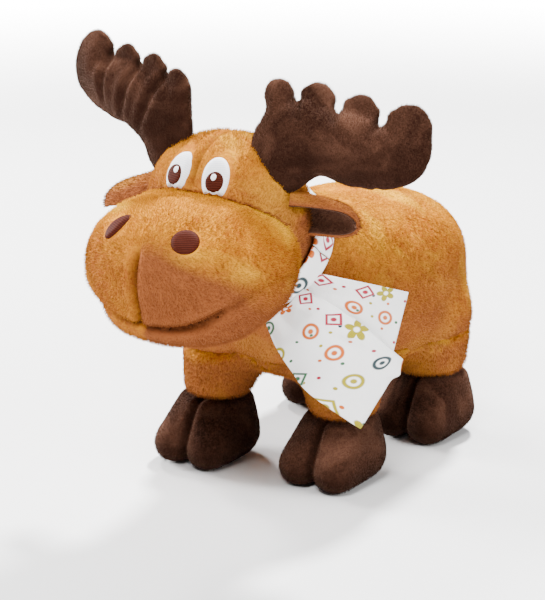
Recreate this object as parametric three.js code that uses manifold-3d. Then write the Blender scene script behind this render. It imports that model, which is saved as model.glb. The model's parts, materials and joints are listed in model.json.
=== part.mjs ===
// A plush moose: stuffed head, body, legs and hooves of pile fabric, flat-sewn antlers, and a cotton scarf.
// It faces -Y with +Z up and +X to its left, in millimetres. The dimensions below are measured from a point
// on the floor between the hooves, and at the end everything moves so that the origin is below the middle
// of the whole toy.
import * as THREE from "three";
import Module from "manifold-3d";
import { mergeVertices } from "three/addons/utils/BufferGeometryUtils.js";

const wasm = await Module();
wasm.setup();

// Driving dimensions
const seamGap = 0.35; // clear space between two pieces that are sewn together
const swingGap = 0.8; // clear space round a ball and along a moving piece's sweep
const foldGap = 2.4; // clear space at the foot of an antler or ear, outside its round root
const soleCut = 0.5; // depth of the flat that the toy's weight presses into each sole
const fine = { around: 24, along: 14 };
const coarse = { around: 14, along: 8 };
const coarseSwell = 1.4; // makes up for the flats of a coarse form, which lie inside the true curve

const torso = { centre: [0, 20, 101], half: [64, 93, 53], chest: { narrowing: 0.12, rise: 0.42 } };
const neck = {
  from: [0, -28, 116],
  to: [0, -72, 149],
  radius: [46, 37],
  widening: 1.14,
  length: 80,
  past: 12, // how far the neck runs on beyond the middle of the scarf's band
};
const headJoint = { pivot: [0, -66, 146], ball: 34, axis: [1, 0, 0], back: -10, forward: 4 };
const crown = { centre: [0, -92, 168], half: [46, 36, 45], cheeks: 0.06 };
const muzzle = { centre: [0, -126, 148], half: [58, 49, 37] };
const lip = { centre: [0, -130, 127], half: [46, 40, 21] };

const antlerFlatness = 0.62; // thickness of a lobe over its width
const antlerRoot = { radius: 8.5, half: 12, swing: 12 };
const antlers = {
  left: { pivot: [31, -97, 196], out: [0.95, 0.25, -0.12], fingers: [0, 0.36, 0.93] },
  right: { pivot: [-34, -96, 199], out: [-0.97, 0.175, 0.2], fingers: [0.12, -0.09, 0.99] },
};
const ear = { pivot: [47, -90, 174], length: 42, height: 12.5, depth: 9, root: 7, rootDepth: 3 };
const earOut = { left: [0.84, 0.53, -0.14], right: [-0.95, 0.04, -0.3] };
const earOpening = [0, -0.75, -0.66];
const earWall = 2; // the two layers of pile fabric
const earHollow = 4; // how far the hollow lies toward the opening
const liningThickness = 1.4;

const feet = {
  front_left: { hip: [36, -30], ankle: [33, -26] },
  front_right: { hip: [-41, -38], ankle: [-47, -38] },
  rear_left: { hip: [34, 60], ankle: [39, 68] },
  rear_right: { hip: [-34, 64], ankle: [-37, 82] },
};
const leg = {
  seam: 38,
  radius: 21,
  front: { height: 72, radius: 26 },
  rear: { height: 75, radius: 33 },
  top: 120, // a level inside the body, above every leg
};
const hoof = { toeSpread: 11, heelRadius: 16.5, toe: 26, toeRadius: 12.5, ankleRadius: 22, ankleHeight: 26 };
const tail = { pivot: [0, 108, 122], tip: [0, 121, 103], radius: [10, 8.5], ball: 10.5, lift: 16, droop: -8 };
const eye = {
  apart: 13,
  y: -124,
  z: 195,
  half: [7.8, 12.4],
  pupil: [5.3, 5.3],
  glint: [1.1, 1.1],
  drop: 3.5, // the pupil sits below the middle of the white
};
const nostril = { apart: 21.5, y: -158, z: 169, half: [7.6, 7] };
// How high each patch of thread lies over the fabric, from its back to its face
const thread = { white: [0.3, 1.0], pupil: [1.3, 1.9], glint: [2.2, 2.7], nostril: [0.3, 1.2] };

// The scarf is one strip: a band round the neck whose two ends hang over each other on the left shoulder.
// Each end lies between two edges, given from the band outward.
const scarf = { thickness: 2.4, bandWidth: 18, bandCentre: [0, -70, 147] };
const scarfOverEnd = {
  upper: [[38, -77, 128], [52, -71, 120], [62, -53, 104], [68, -29, 82], [68, -16, 71]],
  lower: [[18, -78, 107], [28, -83, 93], [33, -81, 80], [44, -78, 67], [62, -53, 42]],
};
const scarfUnderEnd = {
  upper: [[44, -68, 137], [60, -42, 128], [67, -5, 115]],
  lower: [[43, -74, 116], [60, -55, 98], [66, -22, 79]],
};

const joined = (solids) => solids.reduce((all, next) => all.add(next));
const without = (solid, cutters) => cutters.reduce((left, cutter) => left.subtract(cutter), solid);
const vector = (values) => new THREE.Vector3(...values);

// Turns a closed geometry into a solid for cutting and joining
function solidOf(geometry) {
  const bare = geometry.clone();
  bare.deleteAttribute("normal");
  bare.deleteAttribute("uv");
  const merged = mergeVertices(bare, 1e-4);
  return new wasm.Manifold(
    new wasm.Mesh({
      numProp: 3,
      vertProperties: new Float32Array(merged.attributes.position.array),
      triVerts: new Uint32Array(merged.index.array),
    }),
  );
}

// Turns a solid back into a geometry
function geometryOf(solid) {
  const mesh = solid.getMesh();
  const geometry = new THREE.BufferGeometry();
  geometry.setAttribute("position", new THREE.Float32BufferAttribute(mesh.vertProperties, 3));
  geometry.setIndex(new THREE.Uint32BufferAttribute(mesh.triVerts, 1));
  geometry.computeVertexNormals();
  return geometry;
}

// A stuffed form: a ball drawn out to its half sizes and squared up a little, then shaped by a rule
function stuffed({ centre, half }, { swell = 0, square = 2.2, around = 26, along = 16, shape } = {}) {
  const geometry = new THREE.SphereGeometry(1, around, along);
  const place = geometry.attributes.position;
  const size = new THREE.Vector3(...half).addScalar(swell);
  const middle = new THREE.Vector3(...centre);
  const point = new THREE.Vector3();
  for (let i = 0; i < place.count; i += 1) {
    point.fromBufferAttribute(place, i);
    const power = Math.abs(point.x) ** square + Math.abs(point.y) ** square + Math.abs(point.z) ** square;
    point.divideScalar(power ** (1 / square));
    if (shape) shape(point);
    point.multiply(size).add(middle);
    place.setXYZ(i, point.x, point.y, point.z);
  }
  return solidOf(geometry);
}

const ballAt = (centre, radius, grain = { around: 16, along: 10 }) =>
  stuffed({ centre, half: [radius, radius, radius] }, { square: 2, ...grain });

// A stuffed limb or finger from one round end to the other, flattened along its normal
function sausage(from, to, radii, options = {}) {
  const { flat = 1, normal = [0, 0.1, 1], around = 10, cap = 2, swell = 0 } = options;
  const start = new THREE.Vector3(...from);
  const way = new THREE.Vector3(...to).sub(start);
  const [startRadius, endRadius] = radii.map((radius) => radius + swell);
  const profile = new THREE.Path();
  profile.absarc(0, 0, startRadius, -Math.PI / 2, 0, false);
  profile.absarc(0, way.length(), endRadius, 0, Math.PI / 2, false);
  const points = profile.getPoints(cap).map((p) => new THREE.Vector2(Math.max(p.x, 0), p.y));
  const lathe = new THREE.LatheGeometry(points, around);
  const along = way.normalize();
  const face = new THREE.Vector3(...normal);
  face.addScaledVector(along, -face.dot(along)).normalize();
  const side = new THREE.Vector3().crossVectors(along, face);
  lathe.scale(1, 1, flat);
  lathe.applyMatrix4(new THREE.Matrix4().makeBasis(side, along, face).setPosition(start));
  return solidOf(lathe);
}

// The biggest body of a solid that cutting has left in pieces
function mainBody(solid) {
  return solid.decompose().reduce((best, next) => (next.volume() > best.volume() ? next : best));
}

// Everything between two heights
function layer(low, high) {
  const reach = 600; // wider than the toy
  const box = new THREE.BoxGeometry(reach, reach, high - low);
  return solidOf(box.translate(0, 0, (low + high) / 2));
}

// A prism of elliptical section that starts inside a form and runs out through a spot on its face
function prismThrough(centre, spot, half, depth = 60) {
  const along = vector(spot).sub(vector(centre)).normalize();
  const up = new THREE.Vector3(0, 0, 1).addScaledVector(along, -along.z).normalize();
  const side = new THREE.Vector3().crossVectors(along, up);
  const prism = new THREE.CylinderGeometry(1, 1, depth, 14).scale(half[0], 1, half[1]);
  prism.translate(0, depth / 2, 0);
  prism.applyMatrix4(new THREE.Matrix4().makeBasis(side, along, up).setPosition(vector(centre)));
  return solidOf(prism);
}

// A closed sheet of cloth between an upper and a lower edge
function clothBetween({ upper, lower }, thickness, steps = 10, across = 3) {
  const edges = [upper, lower].map((edge) => new THREE.CatmullRomCurve3(edge.map(vector)));
  const rows = Array.from({ length: steps + 1 }, (_, k) => edges.map((edge) => edge.getPoint(k / steps)));
  const between = ([a, b]) => Array.from({ length: across + 1 }, (_, k) => a.clone().lerp(b, k / across));
  const middle = rows.map(between);
  const normalAt = (i, k) => {
    const along = middle[Math.min(i + 1, steps)][k].clone().sub(middle[Math.max(i - 1, 0)][k]);
    const down = rows[i][1].clone().sub(rows[i][0]);
    return along.cross(down).normalize();
  };
  const raised = (shift) => (row, i) =>
    row.map((p, k) => p.clone().addScaledVector(normalAt(i, k), shift * thickness));
  const face = (shift) => middle.flatMap(raised(shift));
  const points = [...face(0.5), ...face(-0.5)];
  const width = across + 1;
  const back = (steps + 1) * width;
  const triangles = [];
  const quad = (a, b, c, d) => triangles.push(a, b, c, a, c, d);
  for (let i = 0; i < steps; i += 1) {
    for (let k = 0; k < across; k += 1) {
      const a = i * width + k;
      quad(a, a + width, a + width + 1, a + 1);
      quad(back + a, back + a + 1, back + a + width + 1, back + a + width);
    }
    const top = i * width;
    const bottom = top + across;
    quad(top, back + top, back + top + width, top + width);
    quad(bottom, bottom + width, back + bottom + width, back + bottom);
  }
  for (let k = 0; k < across; k += 1) {
    const end = steps * width + k;
    quad(k, k + 1, back + k + 1, back + k);
    quad(end, back + end, back + end + 1, end + 1);
  }
  const geometry = new THREE.BufferGeometry().setFromPoints(points);
  geometry.setIndex(triangles);
  return solidOf(geometry);
}

// The solid turned about an axis through a pivot
function turned(solid, pivot, axis, degrees) {
  const there = new THREE.Matrix4().makeTranslation(...pivot);
  const back = new THREE.Matrix4().makeTranslation(...pivot.map((value) => -value));
  const angle = THREE.MathUtils.degToRad(degrees);
  const turn = new THREE.Matrix4().makeRotationAxis(new THREE.Vector3(...axis).normalize(), angle);
  return solid.transform(there.multiply(turn).multiply(back).elements);
}

// The room that a moving piece needs over its range, as copies at even steps of up to eight degrees
function sweep(solid, pivot, axis, from, to) {
  const steps = Math.ceil((to - from) / 8);
  const angles = Array.from({ length: steps + 1 }, (_, k) => from + ((to - from) * k) / steps);
  return angles.map((angle) => turned(solid, pivot, axis, angle));
}

// Body: a barrel that narrows to the chest, with the neck that the scarf goes round
function torsoForm(swell = 0) {
  const narrowing = (p) => {
    const forward = Math.max(0, -p.y);
    p.x *= 1 - torso.chest.narrowing * forward;
    p.z += torso.chest.rise * forward * 0.5 * (p.z + 1);
  };
  return stuffed(torso, { swell, square: 2.5, shape: narrowing }).add(neckForm(swell));
}
// The neck ends square across, a little way past the scarf's band
function neckForm(swell = 0) {
  const section = { flat: neck.widening, normal: [1, 0, 0], around: 24, cap: 3, swell };
  return sausage(neck.from, neck.to, neck.radius, section).intersect(acrossNeck(-neck.length, neck.past));
}
function acrossNeck(from, to) {
  const along = vector(neck.to).sub(vector(neck.from)).normalize();
  const reach = 200; // wider than the neck
  const slice = new THREE.BoxGeometry(reach, reach, to - from).translate(0, 0, (from + to) / 2);
  const turn = new THREE.Quaternion().setFromUnitVectors(new THREE.Vector3(0, 0, 1), along);
  return solidOf(slice.applyQuaternion(turn).translate(...scarf.bandCentre));
}
const tailRoot = (swell = 0) => ballAt(tail.pivot, tail.ball + swell, coarse);
const tailStub = (swell = 0) => sausage(tail.pivot, tail.tip, tail.radius, { swell });

// Head
function crownForm(swell = 0, grain = fine) {
  const widening = (p) => {
    p.x *= 1 + crown.cheeks * (1 - p.z);
  };
  return stuffed(crown, { swell, ...grain, shape: widening });
}
const muzzleForm = (swell = 0, grain = fine) => stuffed(muzzle, { swell, square: 2.3, ...grain });
const lipForm = (swell = 0, grain = { around: 18, along: 10 }) => stuffed(lip, { swell, ...grain });
const neckBall = (swell = 0, grain = fine) => ballAt(headJoint.pivot, headJoint.ball + swell, grain);

// Antler in its own plane: u runs outward from the base and v toward the finger tips
function antlerFrame({ pivot, out, fingers }) {
  const u = vector(out).normalize();
  const v = vector(fingers);
  v.addScaledVector(u, -v.dot(u)).normalize();
  const at = ([a, b]) => vector(pivot).addScaledVector(u, a).addScaledVector(v, b).toArray();
  return { at, axis: v.toArray(), normal: new THREE.Vector3().crossVectors(u, v).toArray() };
}
function antlerForm(antler) {
  const { at, normal } = antlerFrame(antler);
  const lobe = (from, to, radii) => sausage(at(from), at(to), radii, { flat: antlerFlatness, normal });
  return joined([
    lobe([13, 19], [57, 16], [17, 16]),
    lobe([1, 3], [-2, 40], [12, 10]),
    lobe([14, 20], [18, 41], [10, 9]),
    lobe([37, 20], [42, 40], [10, 9.5]),
    lobe([58, 18], [69, 29], [15, 11.5]),
    lobe([69, 29], [66, 38], [11.5, 11]),
  ]);
}
// The gathered root of an antler, round about the line that the antler folds on
function antlerRootForm(antler, swell = 0) {
  const { at, normal } = antlerFrame(antler);
  const reach = antlerRoot.half - antlerRoot.radius;
  const section = { normal, around: 14, swell };
  return sausage(at([0, -reach]), at([0, reach]), [antlerRoot.radius, antlerRoot.radius], section);
}

// Ear: a leaf sewn in at its root and folded round its lining, open forward and down
const earPivot = (hand) => (hand === "left" ? ear.pivot : [-ear.pivot[0], ear.pivot[1], ear.pivot[2]]);
const earRoot = (hand, swell = 0) => ballAt(earPivot(hand), ear.root + swell);
function earForm(hand, { inset = 0, shift = 0 } = {}) {
  const out = vector(earOut[hand]).normalize();
  const opening = vector(earOpening);
  opening.addScaledVector(out, -opening.dot(out)).normalize();
  const across = new THREE.Vector3().crossVectors(out, opening);
  const half = [ear.length / 2 - inset, ear.depth - inset, ear.height - inset];
  const leaf = new THREE.SphereGeometry(1, 12, 9).rotateZ(Math.PI / 2).scale(...half);
  const middle = vector(earPivot(hand))
    .addScaledVector(out, ear.length / 2 - ear.rootDepth)
    .addScaledVector(opening, shift);
  leaf.applyMatrix4(new THREE.Matrix4().makeBasis(out, opening, across).setPosition(middle));
  return solidOf(leaf);
}

// Leg from inside the body down to the ankle seam
function legForm({ hip, ankle }, { height, radius }) {
  const ends = [[...ankle, leg.seam], [...hip, height]];
  return sausage(...ends, [leg.radius, radius], { around: 20, cap: 4, normal: [0, 1, 0] });
}

// Cloven hoof: two swollen toes under one ankle
function hoofForm([x, y]) {
  const toe = (side) =>
    sausage(
      [x + side * hoof.toeSpread, y, hoof.heelRadius - soleCut],
      [x + side * (hoof.toeSpread + 1), y - hoof.toe, hoof.toeRadius - soleCut],
      [hoof.heelRadius, hoof.toeRadius],
      { around: 14 },
    );
  const section = { around: 18, normal: [0, 1, 0] };
  const ankle = sausage([x, y, hoof.ankleHeight], [x, y, leg.seam], [hoof.ankleRadius, leg.radius], section);
  return joined([toe(-1), toe(1), ankle]).intersect(layer(0, leg.seam - seamGap));
}

// Scarf: the band is a slice of a skin round the neck, and the two ends run on from it
function scarfForm() {
  const skin = torsoForm(seamGap + scarf.thickness).subtract(torsoForm(seamGap));
  const band = mainBody(skin.intersect(acrossNeck(-scarf.bandWidth / 2, scarf.bandWidth / 2)));
  const ends = [scarfOverEnd, scarfUnderEnd].map((edges) => clothBetween(edges, scarf.thickness));
  return mainBody(without(joined([band, ...ends]), [torsoForm(seamGap), ...headSweep]));
}

// Embroidery: a thin patch that follows the form beneath it
function embroidery(form, { centre }, spot, half, [low, high]) {
  return form(high).subtract(form(low)).intersect(prismThrough(centre, spot, half));
}
// The muzzle covers the foot of the eyes
const eyePatch = (spot, half, heights) =>
  embroidery(crownForm, crown, spot, half, heights).subtract(muzzleForm(seamGap));

const palette = {
  plush: { color: "#c4863a", roughness: 0.95, metalness: 0 },
  velour: { color: "#553729", roughness: 0.9, metalness: 0 },
  lining: { color: "#3f2a22", roughness: 0.9, metalness: 0 },
  whiteThread: { color: "#f2f2f5", roughness: 0.6, metalness: 0 },
  brownThread: { color: "#64392f", roughness: 0.6, metalness: 0 },
  cotton: { color: "#f4f2ee", roughness: 0.85, metalness: 0 },
};
const model = new THREE.Group();

function add(name, solid, finish) {
  const mesh = new THREE.Mesh(geometryOf(solid), new THREE.MeshStandardMaterial(finish));
  mesh.name = name;
  model.add(mesh);
}

// Antlers and ears come first, because the head is cut for their roots
const antlerSolids = {};
const headCutters = [];
for (const [hand, antler] of Object.entries(antlers)) {
  const blade = antlerForm(antler).subtract(crownForm(foldGap));
  antlerSolids[hand] = mainBody(blade.add(antlerRootForm(antler)));
  headCutters.push(antlerRootForm(antler, swingGap));
}
const earSolids = {};
const liningSolids = {};
for (const hand of ["left", "right"]) {
  const hollow = earForm(hand, { inset: earWall, shift: earHollow });
  const shell = earForm(hand).subtract(hollow).subtract(crownForm(foldGap));
  earSolids[hand] = mainBody(shell.add(earRoot(hand)));
  const skin = earForm(hand, { inset: earWall + seamGap, shift: earHollow })
    .subtract(earForm(hand, { inset: earWall, shift: earHollow + liningThickness }))
    .subtract(earRoot(hand, seamGap));
  liningSolids[hand] = mainBody(skin.intersect(earForm(hand)).subtract(crownForm(foldGap)));
  headCutters.push(earRoot(hand, swingGap));
}

// Head: the muzzle is the largest form and cuts the crown, and both cut the lower lip
const crownSolid = mainBody(without(crownForm().add(neckBall()), [muzzleForm(seamGap), ...headCutters]));
const lipSolid = mainBody(without(lipForm(), [muzzleForm(seamGap), crownForm(seamGap), neckBall(seamGap)]));
const headRoom = joined([crownForm, muzzleForm, lipForm].map((form) => form(coarseSwell + swingGap, coarse)));
const headSweep = sweep(headRoom, headJoint.pivot, headJoint.axis, headJoint.back, headJoint.forward);
const tailSweep = sweep(tailStub(swingGap), tail.pivot, [1, 0, 0], tail.droop, tail.lift);
const torsoCutters = [neckBall(swingGap), tailRoot(swingGap), ...headSweep, ...tailSweep];

add("torso", mainBody(without(torsoForm(), torsoCutters)), palette.plush);
add("tail", tailRoot().add(tailStub()), palette.plush);
add("head_crown", crownSolid, palette.plush);
add("muzzle", muzzleForm(), palette.plush);
add("lower_lip", lipSolid, palette.plush);
add("scarf", scarfForm(), palette.cotton);
for (const [hand, side] of [["left", 1], ["right", -1]]) {
  add(`antler_${hand}`, antlerSolids[hand], palette.velour);
  add(`ear_${hand}`, earSolids[hand], palette.plush);
  add(`ear_lining_${hand}`, liningSolids[hand], palette.lining);
  const eyeSpot = [side * eye.apart, eye.y, eye.z];
  const pupilSpot = [side * eye.apart, eye.y, eye.z - eye.drop];
  const nostrilSpot = [side * nostril.apart, nostril.y, nostril.z];
  const opening = embroidery(muzzleForm, muzzle, nostrilSpot, nostril.half, thread.nostril);
  add(`eye_white_${hand}`, eyePatch(eyeSpot, eye.half, thread.white), palette.whiteThread);
  add(`pupil_${hand}`, eyePatch(pupilSpot, eye.pupil, thread.pupil), palette.brownThread);
  add(`eye_glint_${hand}`, eyePatch(eyeSpot, eye.glint, thread.glint), palette.whiteThread);
  add(`nostril_${hand}`, opening, palette.brownThread);
}
for (const [place, stance] of Object.entries(feet)) {
  const limb = legForm(stance, place.startsWith("front") ? leg.front : leg.rear);
  add(`leg_${place}`, limb.intersect(layer(leg.seam, leg.top)).subtract(torsoForm(seamGap)), palette.plush);
  add(`hoof_${place}`, hoofForm(stance.ankle), palette.velour);
}

// Move the origin to the floor below the middle of the whole toy
const middle = new THREE.Box3().setFromObject(model).getCenter(new THREE.Vector3());
for (const mesh of model.children) mesh.geometry.translate(-middle.x, -middle.y, 0);

export default model;
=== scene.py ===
# %% [markdown]
# # A plush moose
# This lesson dresses a stuffed toy. The fixed frame already holds plain solids for the body, head, legs,
# hooves, antlers, ears, tail and scarf. Each soft solid gets a fabric skin that is filled, seamed and covered
# with pile, as on the real toy.

# %% Load the frame
import json
import math

import bmesh
import bpy
import numpy as np
from mathutils import Matrix, Quaternion, Vector
from mathutils.bvhtree import BVHTree


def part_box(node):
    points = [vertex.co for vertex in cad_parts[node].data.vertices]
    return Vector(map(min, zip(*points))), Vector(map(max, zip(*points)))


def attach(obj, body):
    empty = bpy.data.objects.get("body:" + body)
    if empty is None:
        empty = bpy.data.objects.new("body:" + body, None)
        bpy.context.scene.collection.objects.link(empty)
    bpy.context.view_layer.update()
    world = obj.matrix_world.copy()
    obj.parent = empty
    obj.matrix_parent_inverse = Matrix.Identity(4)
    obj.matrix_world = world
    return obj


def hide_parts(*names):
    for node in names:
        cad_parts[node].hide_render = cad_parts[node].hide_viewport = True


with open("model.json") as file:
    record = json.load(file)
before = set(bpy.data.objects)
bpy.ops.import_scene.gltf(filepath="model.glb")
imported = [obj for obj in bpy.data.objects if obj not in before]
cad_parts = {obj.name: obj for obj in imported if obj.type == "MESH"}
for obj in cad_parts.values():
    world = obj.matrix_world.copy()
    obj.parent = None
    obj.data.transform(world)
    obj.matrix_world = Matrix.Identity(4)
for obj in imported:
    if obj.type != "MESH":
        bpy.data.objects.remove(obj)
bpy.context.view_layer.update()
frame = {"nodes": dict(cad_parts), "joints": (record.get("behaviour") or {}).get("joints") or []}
nodes = frame["nodes"]
MM = 0.001


# %% [markdown]
# ## Camera
# The toy was photographed from its left front and a little above, from far away, so a long lens fits.
# The camera looks along a direction given by two angles, at a point near the toy's middle.

# %% Camera
camera_turn = math.radians(34)
camera_height = math.radians(18)
camera_distance = 1.25
camera_target = Vector((-0.0393, 0.0298, 0.084))

toward_camera = Vector((
    math.sin(camera_turn) * math.cos(camera_height),
    -math.cos(camera_turn) * math.cos(camera_height),
    math.sin(camera_height),
))
camera = bpy.data.objects.new("camera", bpy.data.cameras.new("camera"))
camera.data.lens = 125
camera.data.sensor_width = 36
camera.data.clip_end = 30
camera.location = camera_target + toward_camera * camera_distance
camera.rotation_euler = toward_camera.to_track_quat("Z", "Y").to_euler()
bpy.context.scene.collection.objects.link(camera)
bpy.context.scene.camera = camera
print("camera stands at", [round(v, 3) for v in camera.location])


# %% [markdown]
# ## Floor and light
# A product photograph uses a white sweep and a few lamps. A big plane is enough for the floor, and it glows
# far away, where a real sweep fades to pure white. Two small lamps stand high behind the toy, one on each
# side, so its back shines and clear shadows fall forward. Three large lamps, at the left, at the right and
# high in front, are soft and keep the face open. Left and right here are the picture's.

# %% Helpers for objects and plain materials
def link(name, mesh):
    piece = bpy.data.objects.new(name, mesh)
    bpy.context.scene.collection.objects.link(piece)
    return piece


def new_piece(name, build):
    """Turns a bmesh into an object, and frees it"""
    mesh = bpy.data.meshes.new(name)
    build.to_mesh(mesh)
    build.free()
    return link(name, mesh)


def new_material(name, roughness):
    material = bpy.data.materials.new(name)
    material.use_nodes = True
    shader = material.node_tree.nodes["Principled BSDF"]
    shader.inputs["Roughness"].default_value = roughness
    return material, material.node_tree, shader


# %% Node helpers
def feed(tree, made, inputs):
    """Sets a node's sockets or joins them to others. inputs is a list for its first ones, or goes by name."""
    for key, value in inputs.items() if isinstance(inputs, dict) else enumerate(inputs):
        if isinstance(value, bpy.types.NodeSocket):
            tree.links.new(value, made.inputs[key])
        else:
            made.inputs[key].default_value = value
    return made


def node(tree, kind, inputs=(), **settings):
    made = tree.nodes.new(kind)
    for name, setting in settings.items():
        setattr(made, name, setting)
    return feed(tree, made, inputs)


def spread(tree, value, low, high, to_low=0.0, to_high=1.0):
    """A smooth step from to_low to to_high as the value goes from low to high"""
    inputs = {"Value": value, "From Min": low, "From Max": high, "To Min": to_low, "To Max": to_high}
    return node(tree, "ShaderNodeMapRange", inputs, interpolation_type="SMOOTHSTEP").outputs["Result"]


def mixed(tree, factor, first, second):
    """Mixes two colours, each of them a socket or three numbers"""
    first, second = ((*value, 1) if isinstance(value, tuple) else value for value in (first, second))
    inputs = {"Factor": factor, "A": first, "B": second}
    return node(tree, "ShaderNodeMix", inputs, data_type="RGBA").outputs["Result"]


def math_node(tree, operation, *values):
    return node(tree, "ShaderNodeMath", values, operation=operation).outputs[0]


# %% Floor
floor_size = 12
lit_reach = 0.9
far_reach = 2.6
surround_glow = 40.0
bounce = 0.75
paleness = 0.8
floor_build = bmesh.new()
bmesh.ops.create_grid(floor_build, x_segments=1, y_segments=1, size=floor_size / 2)
floor = new_piece("floor", floor_build)
floor_paint, floor_tree, floor_shader = new_material("white_sweep", roughness=0.7)
seen = node(floor_tree, "ShaderNodeLightPath").outputs["Is Camera Ray"]
tone = mixed(floor_tree, seen, (bounce,) * 3, (paleness,) * 3)
floor_place = node(floor_tree, "ShaderNodeTexCoord").outputs["Object"]
away = node(floor_tree, "ShaderNodeVectorMath", [floor_place], operation="LENGTH").outputs["Value"]
far = spread(floor_tree, away, lit_reach, far_reach, to_high=surround_glow)
glow = math_node(floor_tree, "MULTIPLY", far, seen)
feed(floor_tree, floor_shader, {
    "Base Color": tone, "Emission Color": (1, 1, 1, 1), "Emission Strength": glow,
})
floor.data.materials.append(floor_paint)
print("floor is", floor_size, "m wide")


# %% Lamps
def lamp(name, place, target, size, power):
    light = bpy.data.objects.new(name, bpy.data.lights.new(name, "AREA"))
    light.data.shape = "DISK"
    light.data.size = size
    light.data.energy = power
    light.location = place
    direction = Vector(place) - Vector(target)
    light.rotation_euler = direction.to_track_quat("Z", "Y").to_euler()
    bpy.context.scene.collection.objects.link(light)


toy_middle = (0, 0, 0.12)
lamp("right_key", (-0.2, 0.95, 1.6), toy_middle, size=0.25, power=122)
lamp("left_key", (-1.05, 0.6, 1.25), toy_middle, size=0.3, power=28)
lamp("left_lamp", (-1.45, -0.15, 0.5), toy_middle, size=0.6, power=74)
lamp("side_lamp", (1.4, 0.1, 0.8), toy_middle, size=0.7, power=20)
lamp("front_lamp", (0.25, -1.0, 1.3), toy_middle, size=0.7, power=44)
room_light = 0.12
world = bpy.data.worlds.new("white_room")
world.use_nodes = True
room = world.node_tree
room_seen = node(room, "ShaderNodeLightPath").outputs["Is Camera Ray"]
room_strength = math_node(room, "MULTIPLY_ADD", room_seen, surround_glow, room_light)
feed(room, room.nodes["Background"], {"Color": (1, 1, 1, 1), "Strength": room_strength})
bpy.context.scene.world = world
print("five lamps and a white room")


# %% [markdown]
# ## Colour of the pile
# Plush looks lighter where its pile lies toward the light and darker where it is brushed the other way. A
# hand leaves such patches everywhere. One noise could paint them, but three colours mixed by two large, soft
# noises look less even, and a third, fine noise adds streaks. It is a node group because the skin and its
# hairs must agree on the colour at each place.

# %% Pile colour group
streak_share = 0.33
streak_shadow = 0.72
wide_patch_scale = 0.7


def noise(tree, place, scale, detail=2.0, distortion=0.0):
    inputs = {"Vector": place, "Scale": scale, "Detail": detail, "Distortion": distortion}
    return node(tree, "ShaderNodeTexNoise", inputs).outputs["Fac"]


def colour(red, green, blue):
    """Turns a screen colour from 0 to 255 into the linear values that shaders use"""
    return tuple((value / 255) ** 2.2 for value in (red, green, blue))


def brushed_pile_group(name, dark, middle, light, patch, grain):
    group = bpy.data.node_groups.new(name, "ShaderNodeTree")
    group.interface.new_socket("Colour", in_out="OUTPUT", socket_type="NodeSocketColor")
    group.interface.new_socket("Height", in_out="OUTPUT", socket_type="NodeSocketFloat")
    place = node(group, "ShaderNodeTexCoord").outputs["Object"]
    patches = noise(group, place, 1 / patch, detail=3.0, distortion=1.2)
    wide_patches = noise(group, place, wide_patch_scale / patch, detail=4.0, distortion=1.5)
    streak = noise(group, place, 1 / grain, detail=3.0, distortion=1.2)
    base = mixed(group, spread(group, patches, low=0.40, high=0.60), dark, middle)
    base = mixed(group, spread(group, wide_patches, low=0.46, high=0.66), base, light)
    fine = spread(group, streak, low=0.3, high=0.72)
    streaked = mixed(group, fine, tuple(value * streak_shadow for value in dark), light)
    result = mixed(group, streak_share, base, streaked)
    node(group, "NodeGroupOutput", {"Colour": result, "Height": streak})
    return group


golden = brushed_pile_group(
    "golden_pile", dark=colour(158, 86, 26), middle=colour(196, 120, 26), light=colour(230, 164, 34),
    patch=0.045, grain=0.0026)
brown = brushed_pile_group(
    "brown_velour", dark=colour(42, 26, 20), middle=colour(69, 46, 36), light=colour(100, 69, 55),
    patch=0.03, grain=0.0013)
print("pile colours:", golden.name, brown.name)


# %% [markdown]
# ## Materials of fabric and hair
# Under its hairs the real plush is a knitted ground, which shows only at seams and where hairs are thin. So
# the skin's material is the pile's colour with a soft relief, darker in the seams from their thread and from
# painted shade in the crease, and darker where the skin faces down, which is painted shade. Each hair gets
# the same colour, darker at its root, because little light reaches the ground. A thin spike's own normal
# would sparkle, so most of the skin's normal is mixed in, which lights the pile as one soft surface.

# %% Fabric materials
def stored(tree, name):
    """A value that was stored on the mesh for each of its points"""
    return node(tree, "ShaderNodeAttribute", attribute_name=name).outputs["Fac"]


def add_relief(tree, shader, height, distance, strength=1.0):
    relief = node(tree, "ShaderNodeBump", {"Height": height, "Distance": distance, "Strength": strength})
    feed(tree, shader, {"Normal": relief.outputs["Normal"]})


def set_sheen(tree, shader, weight, roughness, tint, specular):
    feed(tree, shader, {
        "Sheen Weight": weight, "Sheen Roughness": roughness, "Sheen Tint": (*tint, 1),
        "Specular IOR Level": specular,
    })


def pile_material(name, group, bump, sheen_colour, sheen, nap_colour, seam_colour):
    """The pile's colour is mixed toward a darker colour, as painted shade where the skin faces down and as a
    darker tone on some pieces, and seams are darkened by their thread and painted shade in the crease
    """
    material, tree, shader = new_material(name, roughness=0.9)
    set_sheen(tree, shader, sheen, roughness=0.45, tint=sheen_colour, specular=0.03)
    pile = node(tree, "ShaderNodeGroup", node_tree=group)
    shaded_pile = mixed(tree, stored(tree, "nap"), pile.outputs["Colour"], nap_colour)
    feed(tree, shader, {"Base Color": mixed(tree, stored(tree, "sewn"), shaded_pile, seam_colour)})
    add_relief(tree, shader, pile.outputs["Height"], bump, strength=0.9)
    return material


# Colours mixed in as painted shade where the skin faces down, and as a darker tone on some pieces
golden_shade = colour(134, 78, 46)
brown_shade = colour(42, 26, 20)
golden_sheen = colour(255, 160, 30)
brown_sheen = colour(190, 150, 130)
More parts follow.
